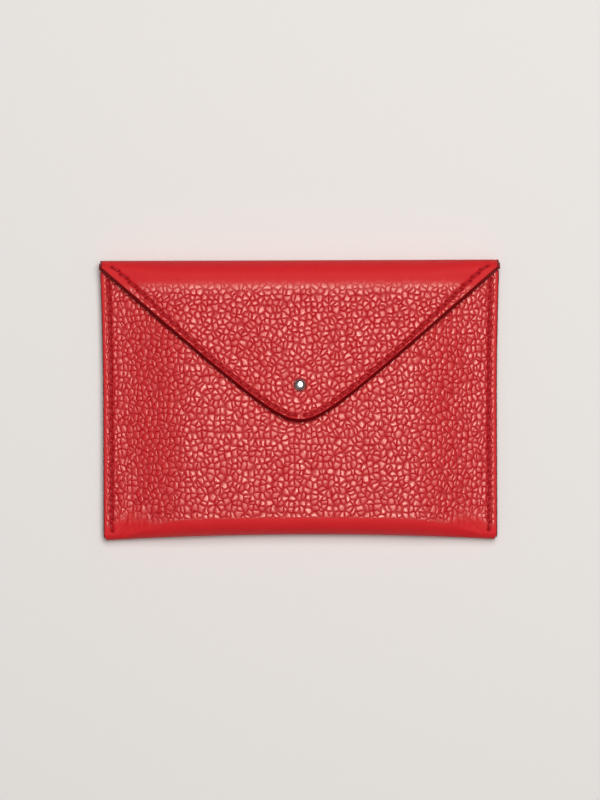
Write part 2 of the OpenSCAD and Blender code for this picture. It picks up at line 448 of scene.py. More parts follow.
SKEW = 0.16  # the holes are slanting slits, so a stitch starts and ends off its seam's line
TROUGH_DEPTH = 0.34
TROUGH_R = 0.44
HOLE_DEPTH = 0.22
HOLE_R = 0.42


def side_stitches():
    """Both ends of each stitch up the right side, as pairs of points in plan."""
    start = -TOP_Y + 2.7
    count = int((mouth_y(SEAM_X) - 0.5 - start) // STITCH_PITCH)
    lows = [start + k * STITCH_PITCH for k in range(count)]
    return [((SEAM_X - SKEW, low), (SEAM_X + SKEW, low + STITCH_LEN)) for low in lows]


def beside_edge(x, skew):
    """The point in plan on the flap's seam, beside the edge's place x, moved in by skew."""
    slant = flap_slant(x)
    fall = math.hypot(1, slant)
    inset = float(flap_inset(x)) + skew
    return x - inset * slant / fall, float(flap_edge(x)) + inset / fall


def flap_stitches():
    """Both ends of each stitch on the right half of the flap, from its point outwards."""
    out = []
    x = STITCH_PITCH / 2
    while x < FLAP_HALF - 0.6:
        fall = math.hypot(1, flap_slant(x))
        near, far = beside_edge(x, SKEW), beside_edge(x + STITCH_LEN / fall, -SKEW)
        if far[1] > TOP_Y - 1.3:
            break
        out.append((near, far))
        x += STITCH_PITCH / fall
    return out


SIDE_STITCHES = side_stitches()
FLAP_STITCHES = flap_stitches()


def stitch_marks(x, y, stitches):
    """How far the stitches draw the leather in at x, y, and how much shade is painted there into the
    stitch troughs and holes.
    """
    trough, hole = 0 * x, 0 * x
    for (ax, ay), (bx, by) in stitches:
        along_x, along_y = bx - ax, by - ay
        share = ((x - ax) * along_x + (y - ay) * along_y) / (along_x**2 + along_y**2)
        share = np.clip(share, 0, 1)
        off = np.hypot(x - ax - share * along_x, y - ay - share * along_y)
        trough = np.maximum(trough, bell(off / TROUGH_R))
        for px, py in ((ax, ay), (bx, by)):
            hole = np.maximum(hole, bell(np.hypot(x - px, y - py) / HOLE_R))
    # the second value is painted shade for the troughs and holes
    return TROUGH_DEPTH * trough + HOLE_DEPTH * hole, np.maximum(0.45 * trough, hole)


def case_sink(x, y):
    """How far the case's outer face is drawn in by its seams: the sink, and the shade painted into its
    stitch troughs and holes.
    x is the distance across before the sides are flared."""
    sink, dark = stitch_marks(abs(x), y, SIDE_STITCHES)
    keep = smooth((y + TOP_Y - 1.2) / 1.2)
    sink = sink + 0.1 * bell((abs(x) - SEAM_X) / 0.8)
    return sink * keep, dark * keep


def flap_sink(x, y):
    off = (y - flap_edge(x)) / np.hypot(1, flap_slant(x)) - flap_inset(x)
    sink, dark = stitch_marks(abs(x), y, FLAP_STITCHES)
    return sink + 0.08 * bell(off / 0.8) * smooth((FLAP_HALF - 0.6 - abs(x)) / 1.5), dark


# ---------------------------------------------------------------- the soft shape of the leather


def ripple(x, y):
    """Low, slow unevenness of hand-worked leather, in millimetres."""
    a = np.sin(0.21 * x + 1.3 * np.sin(0.11 * y + 0.7)) * np.cos(0.17 * y - 0.9)
    b = np.sin(0.37 * y + 0.23 * x + 2.1) * np.cos(0.29 * x - 0.13 * y)
    return 0.6 * a + 0.4 * b


def corner_pucker(x, y):
    """Wrinkles that run up and inwards from the two pinched bottom corners."""
    dx = SEAM_X - abs(x)
    dy = y + TOP_Y
    reach = np.hypot(dx, dy)
    angle = np.arctan2(dy, np.maximum(dx, 1e-6))
    side = np.sign(x + 1e-9)
    fold = np.sin(13 * angle + 0.12 * reach * side + 1.1 * side)
    size = smooth(reach / 5) * (1 - smooth((reach - 9) / 20)) * smooth(dx / 2.5)
    return fold * size


def corner_creases(x, y):
    """Fine upright creases just above the bottom fold, near its two corners."""
    in_from_seam = SEAM_X - abs(x)
    up = y - bottom_y(x)
    size = smooth(in_from_seam / 2) * (1 - smooth((in_from_seam - 11) / 10))
    size = size * smooth((up - 2.2) / 2) * (1 - smooth((up - 6.5) / 6))
    wave = np.sin(3.4 * x + 0.9 * np.sin(0.8 * y + x)) + 0.6 * np.sin(5.3 * x - 0.7 * y)
    return wave * size


# ---------------------------------------------------------------- the case's leather

CASE_COLUMNS = spread(-1, 1, 341, lambda u: 2.4 + 2.6 * bell((abs(u) * HALF_W - SEAM_X) / 1.2))
CASE_ROWS = stretches([10, 68, 26, 168])
GRAIN_LENGTH = 0.93  # the pebbles are a little longer along the skin than across it


def case_place(half):
    def place(columns, rows, inset, depth):
        x = columns * half
        lengths = case_lengths(x)
        # the sides draw in a little where they go round the bottom fold
        turn = np.sin(np.pi * np.clip(rows - 2, 0, 1)) ** 2
        tuck = inset + 0.45 * turn
        s = along(rows, lengths) * (1 - inset / sum(lengths))
        out = case_point(x, s, depth)
        out[..., 0] -= tuck * columns
        return out

    return place


def case_leather():
    columns, rows = CASE_COLUMNS, CASE_ROWS
    half = HALF_W - PAINT_T
    u, v = np.meshgrid(columns, rows, indexing="ij")
    place = case_place(half)
    x = u * half
    y = place(u, v, 0.25, 0 * u)[..., 1]
    on_front = v > 3
    on_back = (v > 1) & (v < 2)
    # dark is shade painted into the side seams' troughs and holes
    sink, dark = case_sink(x, y)
    flat = (on_front | on_back).astype(float)
    sink, dark = sink * flat, dark * flat
    quarter, back, turn, front = case_lengths(x)
    s = along(v, (quarter, back, turn, front))
    laid = bottom_y(x) + thick(x) / 2 + s - quarter - back - turn
    squeeze = np.clip(abs(x) - 36, 0, None)
    grain_x = x + np.sign(x) * 0.007 * squeeze**2
    up = y - bottom_y(x)
    front_relief = 0.04 + 0.96 * smooth((up - 2.6) / 3.6)
    corner = 1 - smooth((SEAM_X - abs(x) - 8) / 6)
    corner = corner * (1 - smooth((up - 4) / 7)) * smooth((SEAM_X - abs(x)) / 2)
    front_relief = front_relief * (1 - 0.7 * corner)
    back_relief = 0.06 + 0.94 * smooth((up - 2.6) / 3.6)
    back_relief = back_relief * (0.06 + 0.94 * smooth((TOP_Y - 5 - y) / 5))
    relief = np.where(on_front, front_relief, np.where(on_back, back_relief, 0.05))
    relief = np.where(v < 1, 0.06 * smooth(v / 0.2), relief)
    relief = relief * (1 - 0.8 * dark) * (1 - 0.5 * bell((abs(x) - SEAM_X) / 0.5))
    relief = relief * smooth((half - 0.15 - abs(x)) / 0.7)
    free = smooth((SEAM_X - abs(x)) / 4)
    front_share = smooth((v - 2.5) / 0.5) * (1 - smooth((v - 3.8) / 0.2))
    shape = 0.12 * ripple(x, y) * front_share * free
    shape = shape + 0.14 * corner_pucker(x, y) * smooth((v - 2.6) / 0.3)
    shape = shape + 0.05 * corner_creases(x, y) * on_front
    facts = {
        "grain": np.stack([grain_x, GRAIN_LENGTH * laid, 0 * x], axis=-1),
        "relief": relief,
        "dark": dark,
    }
    return closed_sheet("case_skin", place, columns, rows, sink - shape, rim(LEATHER_T, 0.25), facts)


# ---------------------------------------------------------------- the flap's leather

FLAP_COLUMNS = spread(-1, 1, 449, lambda u: 1 + 0 * u)
FLAP_ROWS = stretches([20, 112, 24])
FLAP_BAND = 4.8
FLAP_BEVEL = 0.8  # how far the flap's cut edge leans out from its top to its foot


def flap_lengths(x, end):
    """Lengths of the top fold's upper half, the flap and the band along its edge."""
    quarter = np.minimum(fold_r(x) * np.pi / 2, 0.5 * end)
    band = np.minimum(FLAP_BAND, 0.5 * (end - quarter))
    return quarter, end - quarter - band, band


def flap_place(half, back_from_edge):
    def place(columns, rows, inset, depth):
        x = columns * (half - inset)
        fall = np.hypot(1, flap_slant(x))
        end = flap_end(x) - (inset + back_from_edge) * fall
        return flap_point(x, along(rows, flap_lengths(x, end)), depth)

    return place


def flap_leather():
    columns, rows = FLAP_COLUMNS, FLAP_ROWS
    u, v = np.meshgrid(columns, rows, indexing="ij")
    place = flap_place(FLAP_HALF, 0)
    cut_edge = rim(LEATHER_T, 0.22, FLAP_BEVEL)
    flat = place(u, v, cut_edge[0][0], 0 * u)
    x, y = flat[..., 0], flat[..., 1]
    # dark is shade painted into the flap seam's troughs and holes
    sink, dark = flap_sink(x, y)
    s = along(v, flap_lengths(x, flap_end(x)))
    sink, dark = sink * smooth(s / 1.5), dark * smooth(s / 1.5)
    laid = fold_y(x) + fold_r(x) * np.pi / 2 - s
    squeeze = np.clip(abs(x) - 38, 0, None)
    grain_x = x + np.sign(x) * 0.006 * squeeze**2 + 300
    edge = (y - flap_edge(x)) / np.hypot(1, flap_slant(x))
    relief = smooth(s / 3) * (0.07 + 0.93 * smooth((TOP_Y - 4.6 - y) / 6.2))
    relief = relief * (0.25 + 0.75 * smooth((FLAP_HALF - 4 - abs(x)) / 9))
    relief = relief * (1 - 0.8 * dark) * (1 - 0.4 * bell((edge - flap_inset(x)) / 0.5))
    relief = relief * smooth((edge - 0.1) / 0.5)
    r = np.hypot(x, y - SNAP_Y)
    relief = relief * (0.3 + 0.7 * smooth((r - 1.6) / 1.0))
    # painted shadow: a dark ring on the leather round the stud's cap
    dark = np.maximum(dark, 0.9 * bell((r - 1.65) / 0.34))
    dimple = 0.3 * bell(r / 1.9) + 0.08 * bell((r - 4.4) / 0.7)
    shape = 0.1 * ripple(1.1 * x + 9, y - 4) * smooth((edge - 1) / 6) * smooth(s / 6)
    facts = {
        "grain": np.stack([grain_x, GRAIN_LENGTH * laid, 0 * x], axis=-1),
        "relief": relief,
        "dark": dark,
    }
    depth = sink + dimple - shape
    return closed_sheet("flap_skin", place, columns, rows, depth, cut_edge, facts)


# ---------------------------------------------------------------- linings and the card slot


def plain_facts(points, shift):
    x, y = points[..., 0], points[..., 1]
    return {"grain": np.stack([x + shift, y, points[..., 2]], axis=-1), "relief": 1 + 0 * x}


def case_lining():
    columns = spread(-1, 1, 97, lambda u: 1 + 2 * bell((abs(u) - 0.9) / 0.2))
    rows = stretches([8, 24, 16, 56])
    u, v = np.meshgrid(columns, rows, indexing="ij")
    place = case_place(HALF_W - PAINT_T)
    depth = LINING_FROM + 0 * u
    facts = plain_facts(place(u, v, 0.1, depth), 50)
    cut_edge = rim(LINING_TO - LINING_FROM, 0.1)
    return closed_sheet("case_lining", place, columns, rows, depth, cut_edge, facts, step=4)


def flap_lining():
    columns = spread(-1, 1, 145, lambda u: 1 + 0 * u)
    rows = stretches([12, 44, 8])
    u, v = np.meshgrid(columns, rows, indexing="ij")
    place = flap_place(FLAP_HALF - 0.5, 0.35)
    depth = LINING_FROM + 0 * u
    facts = plain_facts(place(u, v, 0.1, depth), 90)
    cut_edge = rim(FLAP_LINING_TO - LINING_FROM, 0.1)
    return closed_sheet("flap_lining_skin", place, columns, rows, depth, cut_edge, facts, step=4)


STRIP_ANGLE = 0.6  # radians on each side of the fold's middle
STRIP_T = 0.34


def fold_strip_place(columns, rows, inset, depth):
    x = columns * (HALF_W - 1.2 - inset)
    a = rows * (STRIP_ANGLE - inset / 3.5)
    r = fold_r(x) - depth
    return np.stack([x, fold_y(x) + r * np.cos(a), lift(x) + fold_r(x) + r * np.sin(a)], axis=-1)


def fold_strip():
    """The middle of the fold's lining, which closes the fold when the flap is open."""
    columns = np.linspace(-1, 1, 49)
    rows = np.linspace(-1, 1, 17)
    u, v = np.meshgrid(columns, rows, indexing="ij")
    depth = LINING_FROM + 0.1 + 0 * u
    facts = plain_facts(fold_strip_place(u, v, 0.1, depth), 50)
    return closed_sheet(
        "fold_lining_strip", fold_strip_place, columns, rows, depth, rim(STRIP_T, 0.1), facts, step=4
    )


def slot_place(columns, rows, inset, depth):
    x = columns * (HALF_W - PAINT_T - inset)
    low = bottom_y(x) + thick(x) / 2
    high = SLOT_TOP - SLOT_DIP * smooth(1 - abs(x) / PINCH_X) - inset
    y = low + (high - low) * rows
    return np.stack([flared(x, y), y, lift(x) + LINING_TO + 0.05 + SLOT_T - depth], axis=-1)


def card_slot():
    columns = spread(-1, 1, 225, lambda u: 1 + 1.5 * bell((abs(u) - 0.85) / 0.2))
    rows = spread(0, 1, 129, lambda t: 1 + 4 * bell((t - 0.97) / 0.05))
    u, v = np.meshgrid(columns, rows, indexing="ij")
    flat = slot_place(u, v, 0, 0 * u)
    to_edge = SLOT_TOP - SLOT_DIP * smooth(1 - abs(flat[..., 0]) / PINCH_X) - flat[..., 1]
    crease = bell((to_edge - 1.8) / 0.3)
    facts = {
        "grain": np.stack([flat[..., 0] + 140, flat[..., 1], 0 * u], axis=-1),
        "relief": 1 - 0.7 * crease,
        # painted shade along the crease's groove
        "dark": 0.35 * crease,
    }
    depth = 0.09 * crease
    return closed_sheet("card_slot_skin", slot_place, columns, rows, depth, rim(SLOT_T, 0.18), facts)


# ---------------------------------------------------------------- painted side edges


def painted_edge(name, side):
    """The rounded coat of paint that closes the layers of one side seam."""
    corner = np.linspace(BOTTOM_Y + 0.6, BOTTOM_Y + 3, 9)
    straight = np.linspace(BOTTOM_Y + 3.6, PAINT_TOP - 0.45, 122)
    ys = np.concatenate([corner, straight, [PAINT_TOP - 0.15, PAINT_TOP]])
    turns = np.radians(np.linspace(-90, 90, 11))
    half_t = thick(np.array(HALF_W)) / 2
    mid = EDGE_LIFT + half_t
    points = []
    for y in ys:
        # towards the bottom corner the coat narrows with the leather's own turn
        into = np.clip((BOTTOM_Y + half_t - y) / half_t, 0, 1)
        tall = (half_t - 0.12) * math.sqrt(max(1 - into**2, 0.02))
        end = smooth((PAINT_TOP + 0.05 - y) / 0.8)
        out = PAINT_T * (0.25 + 0.75 * end) - 0.45 * into**2
        x = flared(np.array(HALF_W - PAINT_T), y) - 0.3
        wave = 0.02 * math.sin(1.7 * y) + 0.015 * math.sin(4.1 * y + 1)
        for t in turns:
            reach = 0.3 + (out + wave) * math.cos(t) ** 0.7
            points.append((side * (x + reach), y, mid + tall * math.sin(t)))
    xyz = np.array(points)
    return finished(name, xyz, tube_faces(len(ys), len(turns)), {"grain": xyz.copy()})


# ---------------------------------------------------------------- thread

THREAD_R = 0.24
THREAD_SUNK = 0.32  # depth of a stitch's two ends below the leather's outer face
STITCH_RISE = 0.14
LOBES = 3  # strands that are twisted together
TWIST = 4.2
AROUND = 12
ALONG = 17


def stitch(start, end, up, rise):
    """Rings of points for one stitch of twisted thread, out of one hole and into the next."""
    start, end, up = (np.array(v, float) for v in (start, end, up))
    run = end - start
    run_dir = run / np.linalg.norm(run)
    across = np.cross(run_dir, up)
    across = across / np.linalg.norm(across)
    points = []
    for k in range(ALONG):
        t = k / (ALONG - 1)
        arch = math.sin(math.pi * t) ** 0.6
        centre = start + run * t + up * (rise * arch - 0.4 * (1 - arch))
        lean = (1 - arch) * (1 if t < 0.5 else -1)
        normal = up - run_dir * lean
        normal = normal / np.linalg.norm(normal)
        for j in range(AROUND):
            a = 2 * math.pi * j / AROUND
            r = THREAD_R * (1 + 0.17 * math.cos(LOBES * (a - TWIST * t)))
            points.append(centre + r * (math.cos(a) * across + math.sin(a) * normal))
    return points


def seam(name, stitches):
    points, faces = [], []
    one = tube_faces(ALONG, AROUND)
    for start, end, up, rise in stitches:
        faces += [[p + len(points) for p in f] for f in one]
        points += stitch(start, end, up, rise)
    xyz = np.array(points)
    return finished(name, xyz, faces, {"grain": xyz.copy()})


def side_seam(name, side):
    out = []
    top = float(lift(SEAM_X) + thick(SEAM_X)) - THREAD_SUNK
    bottom = float(lift(SEAM_X)) + THREAD_SUNK
    for ends in SIDE_STITCHES:
        a, b = [(side * float(flared(x, y)), y) for x, y in ends]
        out.append(((*a, top), (*b, top), (0.02 * side, 0, 1), STITCH_RISE))
        out.append(((*a, bottom), (*b, bottom), (0.02 * side, 0, -1), STITCH_RISE))
    return seam(name, out)


def flap_seam():
    out = []
    for ends in FLAP_STITCHES:
        for side in (1, -1):
            plan = [(side * x, y) for x, y in ends]
            top = [(x, y, float(flap_height(x, y, THREAD_SUNK))) for x, y in plan]
            under = [(x, y, float(flap_height(x, y, FLAP_LINING_TO)) + 0.1) for x, y in plan]
            out.append((*top, (0, 0, 1), STITCH_RISE))
            out.append((*under, (0, 0, -1), 0.0))
    return seam("flap_seam", out)


# ---------------------------------------------------------------- press stud


def cap():
    """The domed cap on its base ring, with the post that goes down into the socket."""
    base = FLAP_TOP + BUMP + 0.02
    top = cap_high[2]
    foot = cap_low[2]
    outline = [(0, foot), (1.4, foot), (1.4, foot + 0.18), (0.8, foot + 0.2), (0.8, base)]
    low = base + 0.34
    outline += [(CAP_R + 0.2, base), (CAP_R + 0.2, base + 0.2), (CAP_R - 0.35, low)]
    ring = rounded(outline + [(0, low)], 0.09)
    ring = [tuple(p) for p in ring if not (p[0] < 1e-6 and p[1] > base)]
    mid = (low + top) / 2
    dome = []
    for a in np.radians(np.linspace(-50, 90, 40)):
        tall = (top - mid) if a > 0 else (mid - low) / math.sin(math.radians(50)) ** 0.7
        rise = math.copysign(abs(math.sin(a)) ** 0.7, a)
        dome.append((CAP_R * abs(math.cos(a)) ** 0.7, mid + tall * rise))
    dome[-1] = (0, top)
    return lathe("stud_cap", ring + dome, 96)


def socket():
    low, high = socket_low[2], socket_high[2]
    r = socket_high[0]
    outline = [(1.75, low), (2.5, low), (2.8, low + 0.12), (r - 0.35, low + 0.05), (r, low + 0.4)]
    outline += [(r, high), (0.9, high), (0.9, high - 0.2), (2.2, high - 0.2), (2.2, low + 0.15)]
    outline += [(1.75, low + 0.15)]
    return lathe("stud_socket", rounded(outline, 0.1))


def stud():
    low, high = stud_low[2], stud_high[2]
    r = stud_high[0]
    outline = [(0.85, low), (r, low), (r, low + 0.15), (r - 0.5, low + 0.32), (1.7, low + 0.35)]
    outline += [(1.25, low + 0.55), (1.25, high - 0.62), (1.5, high - 0.42), (1.5, high - 0.2)]
    outline += [(1.2, high), (0, high), (0, high - 0.25), (0.85, high - 0.25)]
    return lathe("stud_post", rounded(outline, 0.1))


def rivet():
    low, high = rivet_low[2], rivet_high[2]
    r = rivet_high[0]
    outline = [(0, low), (r - 0.3, low), (r, low + 0.2), (r, low + 0.35), (0.8, low + 0.35)]
    outline += [(0.8, high), (0, high)]
    return lathe("stud_rivet_plate", rounded(outline, 0.08))


def stay(name, low, high):
    outline = [(0.9, low[2]), (high[0], low[2]), (high[0], high[2]), (0.9, high[2])]
    return lathe(name, rounded(outline, 0.08))


def spring():
    """The split ring of wire that sits inside the socket."""
    wire = (spring_high[2] - spring_low[2]) / 2
    ring = spring_high[1] - SNAP_Y - wire
    mid = (spring_high[2] + spring_low[2]) / 2
    points = []
    steps, around = 60, 12
    for k in range(steps):
        t = math.radians(15 + 330 * k / (steps - 1))
        out = np.array([math.cos(t), math.sin(t), 0])
        for j in range(around):
            a = 2 * math.pi * j / around
            points.append(out * (ring + wire * math.cos(a)) + [0, SNAP_Y, mid + wire * math.sin(a)])
    return finished("socket_ring", np.array(points), tube_faces(steps, around))


# ---------------------------------------------------------------- pebbled grain
# The same nodes shape the mesh and the bump, so the creases in both lie on each other.

PEBBLE = 1.64
SMALL_PEBBLE = 0.8
UNEVEN = 0.85  # 0 would set the pebbles out in a square grid
GRAIN_HEIGHT = 0.13


def add(tree, kind, inputs=None, **settings):
    """A node with its settings and its inputs, where an input is a value or another's output."""
    node = tree.nodes.new(kind)
    for key, value in settings.items():
        setattr(node, key, value)
    for key, value in (inputs or {}).items():
        socket = node.inputs[key]
        if isinstance(value, bpy.types.NodeSocket):
            tree.links.new(value, socket)
        else:
            socket.default_value = value
    return node


def maths(tree, operation, a, b):
    return add(tree, "ShaderNodeMath", {0: a, 1: b}, operation=operation).outputs[0]


def ramp(tree, value, low, high, out_low=0.0, out_high=1.0, kind="SMOOTHSTEP"):
    node = add(
        tree,
        "ShaderNodeMapRange",
        {"Value": value, "From Min": low, "From Max": high, "To Min": out_low, "To Max": out_high},
        interpolation_type=kind,
    )
    return node.outputs["Result"]


def cells(tree, coords, size, feature):
    inputs = {"Vector": coords, "Scale": 1 / size, "Randomness": UNEVEN}
    return add(tree, "ShaderNodeTexVoronoi", inputs, voronoi_dimensions="2D", feature=feature).outputs


def vectors(tree, operation, a, b):
    node = add(tree, "ShaderNodeVectorMath", {0: a, 1: b}, operation=operation)
    return node.outputs["Value" if operation == "DOT_PRODUCT" else "Vector"]


def scaled(tree, vector, factor):
    inputs = {"Vector": vector, "Scale": factor}
    return add(tree, "ShaderNodeVectorMath", inputs, operation="SCALE").outputs["Vector"]


def warped(tree, coords, scale, amount):
    """coords, each moved by up to half of amount, in a slowly changing direction."""
    inputs = {"Vector": coords, "Scale": scale, "Detail": 1.0}
    drift = add(tree, "ShaderNodeTexNoise", inputs, noise_dimensions="2D").outputs["Color"]
    centred = vectors(tree, "SUBTRACT", drift, (0.5, 0.5, 0.5))
    return vectors(tree, "ADD", coords, scaled(tree, centred, amount))


def pebbles(tree, coords):
    """Height of the grain, from 0 in the creases to about 1 on the tops of the pebbles, the
    distance to the nearest crease as a share of a pebble, and a chance value for each pebble."""
    bent = warped(tree, coords, 0.5, 1.0)
    dome, edge, chance = round_tops(tree, bent, PEBBLE, 0.32, 0.6)
    small, _small_edge, _small_chance = round_tops(tree, bent, SMALL_PEBBLE, 0.16, 0.3)
    wave = noise(tree, coords, 0.45, 1.0)
    height = maths(tree, "ADD", maths(tree, "MULTIPLY", dome, 0.8), maths(tree, "MULTIPLY", small, 0.08))
    height = maths(tree, "ADD", height, ramp(tree, wave, 0.25, 0.75, 0.0, 0.14, "LINEAR"))
    return height, edge, chance


def round_tops(tree, coords, size, crease, lean):
    """Cells of one size with low domes, each leaning its own way, and creases between them."""
    edge = cells(tree, coords, size, "DISTANCE_TO_EDGE")["Distance"]
    nearest = cells(tree, coords, size, "F1")
    centre = nearest["Distance"]
    bowl = maths(tree, "MULTIPLY", maths(tree, "MULTIPLY", centre, centre), 0.7)
    chance = vectors(tree, "SUBTRACT", nearest["Color"], (0.5, 0.5, 0.5))
    off_centre = vectors(tree, "SUBTRACT", coords, nearest["Position"])
    slant = maths(tree, "MULTIPLY", vectors(tree, "DOT_PRODUCT", off_centre, chance), lean)
    dome = maths(tree, "ADD", maths(tree, "SUBTRACT", 0.9, bowl), slant)
    fall = ramp(tree, edge, 0.0, crease, 1.0, 0.0, "LINEAR")
    shoulder = maths(tree, "SUBTRACT", 1.0, maths(tree, "MULTIPLY", fall, fall))
    return maths(tree, "MULTIPLY", dome, shoulder), edge, nearest["Color"]


def noise(tree, coords, scale, detail=3.0):
    return add(tree, "ShaderNodeTexNoise", {"Vector": coords, "Scale": scale, "Detail": detail}).outputs[0]


def grain_tree():
    tree = bpy.data.node_groups.new("raised_grain", "GeometryNodeTree")
    tree.interface.new_socket("Geometry", in_out="INPUT", socket_type="NodeSocketGeometry")
    tree.interface.new_socket("Geometry", in_out="OUTPUT", socket_type="NodeSocketGeometry")
    source = tree.nodes.new("NodeGroupInput")
    sink = tree.nodes.new("NodeGroupOutput")
    grain = add(tree, "GeometryNodeInputNamedAttribute", {"Name": "grain"}, data_type="FLOAT_VECTOR")
    relief = add(tree, "GeometryNodeInputNamedAttribute", {"Name": "relief"}, data_type="FLOAT")
    height, _edge, _chance = pebbles(tree, grain.outputs["Attribute"])
    raised = maths(tree, "MULTIPLY", maths(tree, "SUBTRACT", height, 0.6), GRAIN_HEIGHT * MM)
    raised = maths(tree, "MULTIPLY", raised, relief.outputs["Attribute"])
    normal = tree.nodes.new("GeometryNodeInputNormal").outputs["Normal"]
    inputs = {"Geometry": source.outputs[0], "Offset": scaled(tree, normal, raised)}
    placed = add(tree, "GeometryNodeSetPosition", inputs)
    tree.links.new(placed.outputs["Geometry"], sink.inputs[0])
    return tree


GRAIN_TREE = grain_tree()


def raise_grain(obj):
    """Presses the pebbled grain into the mesh."""
    modifier = obj.modifiers.new("grain", "NODES")
    modifier.node_group = GRAIN_TREE
    graph = bpy.context.evaluated_depsgraph_get()
    mesh = bpy.data.meshes.new_from_object(obj.evaluated_get(graph), depsgraph=graph)
    obj.modifiers.clear()
    old = obj.data
    obj.data = mesh
    bpy.data.meshes.remove(old)
    return obj


# ---------------------------------------------------------------- materials


def material(name, **values):
    made = bpy.data.materials.new(name)
    made.use_nodes = True
    shader = made.node_tree.nodes["Principled BSDF"]
    for key, value in values.items():
        shader.inputs[key.replace("_", " ")].default_value = value
    return made, made.node_tree, shader


def attribute(tree, name, output="Fac"):
    return add(tree, "ShaderNodeAttribute", attribute_name=name).outputs[output]


def mix_colour(tree, factor, a, b):
    # inputs 6 and 7 and output 2 are the colour sockets of the mixing node
    return add(tree, "ShaderNodeMix", {0: factor, 6: a, 7: b}, data_type="RGBA").outputs[2]


def two_tone(tree, factor, dark, light):
    return mix_colour(tree, ramp(tree, factor, 0.3, 0.7), dark, light)


def finish_rough(tree, shader, factor, low, high):
    """The surface's roughness, from low to high as factor rises."""
    tree.links.new(ramp(tree, factor, 0.3, 0.7, low, high), shader.inputs["Roughness"])


def bump(tree, shader, height, distance):
    node = add(tree, "ShaderNodeBump", {"Height": height, "Distance": distance, "Strength": 1.0})
    tree.links.new(node.outputs["Normal"], shader.inputs["Normal"])


TOP_RED = (0.64, 0.014, 0.02, 1)
CREASE_RED = (0.50, 0.002, 0.010, 1)
# painted shade for the dark lines along the creases
CREASE_SHADE_RED = (0.30, 0.001, 0.006, 1)
# painted shade for stitch holes and troughs, round the stud and in the slot's crease
PAINTED_SHADE_RED = (0.14, 0.001, 0.004, 1)
PAINT_RED = (0.22, 0.002, 0.005, 1)
TOP_GLOSS = (1.0, 0.93, 0.82, 1)
CREASE_GLOSS = (0.75, 0.13, 0.13, 1)
BAND_GLOSS = (0.55, 0.26, 0.24, 1)
PAINT_GLOSS = (0.6, 0.12, 0.1, 1)


def grained_leather():
    made, tree, shader = material("grained_leather")
    coords = attribute(tree, "grain", "Vector")
    relief = attribute(tree, "relief")
    dark = attribute(tree, "dark")
    paint = attribute(tree, "paint")
    height, edge, chance = pebbles(tree, coords)
    shown = maths(tree, "MULTIPLY", height, relief)
    lost = maths(tree, "SUBTRACT", 1.0, relief)
    level = maths(tree, "ADD", shown, maths(tree, "MULTIPLY", lost, 0.8))
    mottle = noise(tree, coords, 0.12)
    # painted shade: the colour darkens down into the creases and lightens on the pebble tops
    skin = mix_colour(tree, ramp(tree, level, 0.1, 0.8), CREASE_RED, TOP_RED)
    skin = mix_colour(tree, ramp(tree, mottle, 0.3, 0.7, 0.0, 0.16), skin, CREASE_RED)
    uneven = ramp(tree, noise(tree, coords, 0.7, 1.0), 0.35, 0.65, 0.25, 1.0)
    broken = maths(tree, "MULTIPLY", relief, uneven)
    # painted shade: a dark line down the middle of each crease
    crease = maths(tree, "MULTIPLY", ramp(tree, edge, 0.0, 0.1, 0.95, 0.0), broken)
    skin = mix_colour(tree, crease, skin, CREASE_SHADE_RED)
    # painted shade in the stitch holes and troughs and round the stud's cap
    skin = mix_colour(tree, dark, skin, PAINTED_SHADE_RED)
    skin = mix_colour(tree, paint, skin, PAINT_RED)
    tree.links.new(skin, shader.inputs["Base Color"])
    # light that comes back out of a crease or a stitch hole has met red walls on its way
    walled = maths(tree, "MULTIPLY", ramp(tree, edge, 0.0, 0.22, 1.0, 0.0), broken)
    walled = maths(tree, "MAXIMUM", walled, dark)
    gloss = mix_colour(tree, ramp(tree, relief, 0.1, 0.6), BAND_GLOSS, TOP_GLOSS)
    gloss = mix_colour(tree, walled, gloss, CREASE_GLOSS)
    gloss = mix_colour(tree, paint, gloss, PAINT_GLOSS)
    tree.links.new(gloss, shader.inputs["Specular Tint"])
    pores = noise(tree, coords, 5.5)
    rough = ramp(tree, level, 0.25, 0.75, 0.7, 0.34)
    varied = maths(tree, "MULTIPLY", relief, ramp(tree, chance, 0.0, 1.0, -0.08, 0.1))
    rough = maths(tree, "ADD", rough, varied)
    rough = maths(tree, "ADD", rough, ramp(tree, relief, 0.0, 0.7, 0.3, 0.0))
    rough = maths(tree, "ADD", rough, ramp(tree, pores, 0.3, 0.7, -0.04, 0.04))
    tree.links.new(rough, shader.inputs["Roughness"])
    fine = maths(tree, "MULTIPLY", pores, 0.12)
    bump(tree, shader, maths(tree, "ADD", shown, fine), 0.15 * MM)
    shader.inputs["Specular IOR Level"].default_value = 0.78
    return made


def slot_leather():
    made, tree, shader = material("slot_leather")
    coords = attribute(tree, "grain", "Vector")
    edge = cells(tree, coords, 0.55, "DISTANCE_TO_EDGE")["Distance"]
    height = ramp(tree, edge, 0.0, 0.3)
    # painted shade: the grain is darker in its creases and lighter on its tops
    skin = mix_colour(tree, height, (0.33, 0.006, 0.010, 1), (0.45, 0.012, 0.016, 1))
    # painted shade in the slot's crease
    skin = mix_colour(tree, attribute(tree, "dark"), skin, PAINTED_SHADE_RED)
    skin = mix_colour(tree, attribute(tree, "paint"), skin, PAINT_RED)
    tree.links.new(skin, shader.inputs["Base Color"])
    finish_rough(tree, shader, noise(tree, coords, 1.5), 0.42, 0.55)
    bump(tree, shader, height, 0.02 * MM)
    return made


